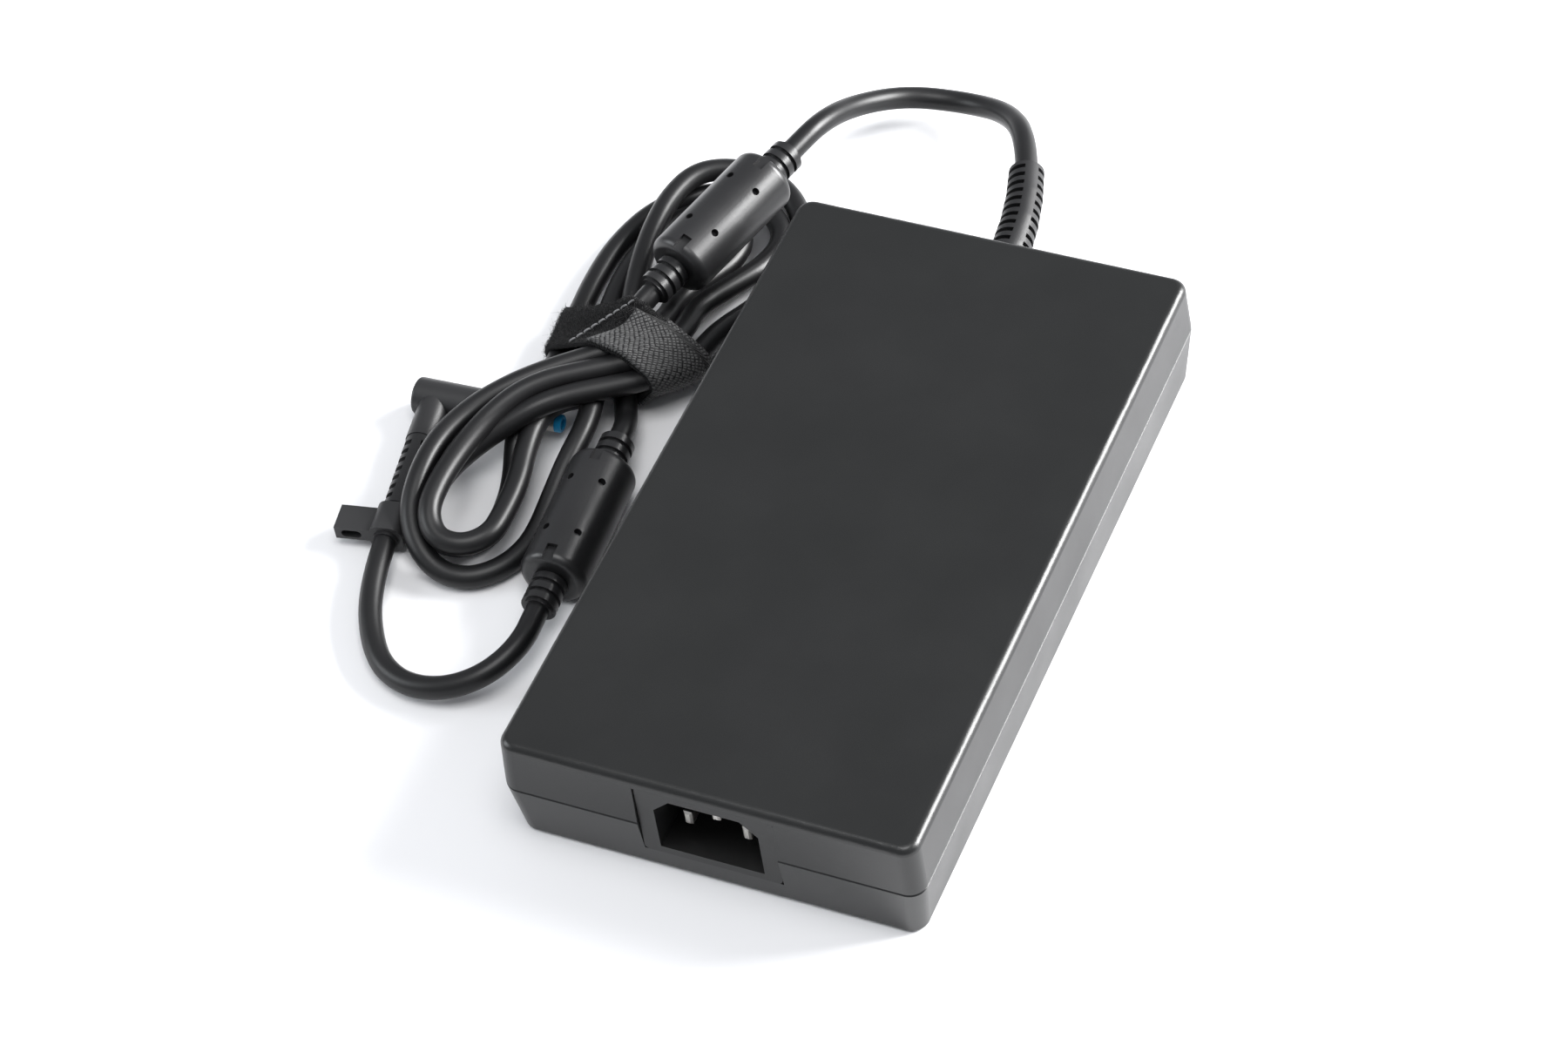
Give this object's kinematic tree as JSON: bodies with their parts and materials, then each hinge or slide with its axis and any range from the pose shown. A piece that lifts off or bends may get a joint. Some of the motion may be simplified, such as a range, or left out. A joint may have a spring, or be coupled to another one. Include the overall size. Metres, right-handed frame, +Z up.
{
  "type": "laptop power adapter",
  "caption": "Laptop power adapter: a flat two-shell case with a mains inlet and a strapped hank of lead ending in a right-angle barrel plug.",
  "frame": {"origin": "centre of the case's underside", "axes": "+Y from the mains inlet to the end where the lead leaves, +X to the right seen from the inlet, +Z up"},
  "size_m": [0.1773, 0.2447, 0.0308],
  "materials": {
    "case_plastic": "fine moulded texture, charcoal black",
    "inlet_plastic": "smooth black moulding",
    "label_film": "blank printed film, satin",
    "plated_brass": "nickel-plated brass",
    "board_laminate": "green solder mask",
    "spreader_aluminium": "rolled sheet",
    "insulation_film": "pale film",
    "fuse_glass": "ceramic tube with metal caps",
    "ferrite": "sintered, dull dark grey",
    "film_case": "moulded yellow case",
    "device_epoxy": "moulded epoxy",
    "capacitor_sleeve": "shrunk film sleeve",
    "winding_tape": "wound tape",
    "wire_sleeve": "insulated wire",
    "boot_rubber": "satin black",
    "choke_plastic": "satin black overmould",
    "cord_jacket": "satin black jacket",
    "strap_pile": "brushed loop pile",
    "strap_weave": "woven tape with light threads",
    "plug_plastic": "satin black moulding",
    "blue_insulator": "blue insulating tip",
    "clip_plastic": "satin black moulding"
  },
  "bodies": {
    "adapter": {"barrel_insulator": "blue_insulator", "barrel_sleeve": "plated_brass", "boost_inductor": "ferrite", "bridge_rectifier": "device_epoxy", "bulk_capacitors": "capacitor_sleeve", "case_lead": "cord_jacket", "centre_pin": "plated_brass", "choke_lead": "cord_jacket", "circuit_board": "board_laminate", "cord_boot": "boot_rubber", "cord_hank": "cord_jacket", "earth_blade": "plated_brass", "film_capacitor": "film_case", "fuse": "fuse_glass", "inlet_housing": "inlet_plastic", "insulation_sheet": "insulation_film", "line_blade": "plated_brass", "line_filter_choke": "ferrite", "lower_case": "case_plastic", "lower_choke_ferrite": "ferrite", "lower_choke_moulding": "choke_plastic", "lower_heat_spreader": "spreader_aluminium", "neutral_blade": "plated_brass", "output_capacitors": "capacitor_sleeve", "output_heatsink": "spreader_aluminium", "output_inductor": "ferrite", "output_rectifiers": "device_epoxy", "output_wires": "wire_sleeve", "plug_boot": "boot_rubber", "plug_housing": "plug_plastic", "plug_lead": "cord_jacket", "primary_heatsink": "spreader_aluminium", "primary_transistors": "device_epoxy", "rating_label": "label_film", "strap_band": "strap_pile", "strap_patch": "strap_weave", "transformer_core": "ferrite", "transformer_winding": "winding_tape", "upper_case": "case_plastic", "upper_choke_ferrite": "ferrite", "upper_choke_moulding": "choke_plastic", "upper_heat_spreader": "spreader_aluminium"},
    "clip": {"cord_clip": "clip_plastic"}
  },
  "joints": [
    {"name": "clip_swivel", "type": "hinge", "parent": "adapter", "child": "clip", "pos_m": [-0.11386, -0.01858, 0.0048], "axis": [-0.1736, 0.9848, 0], "range_deg": [0, 90]}
  ]
}
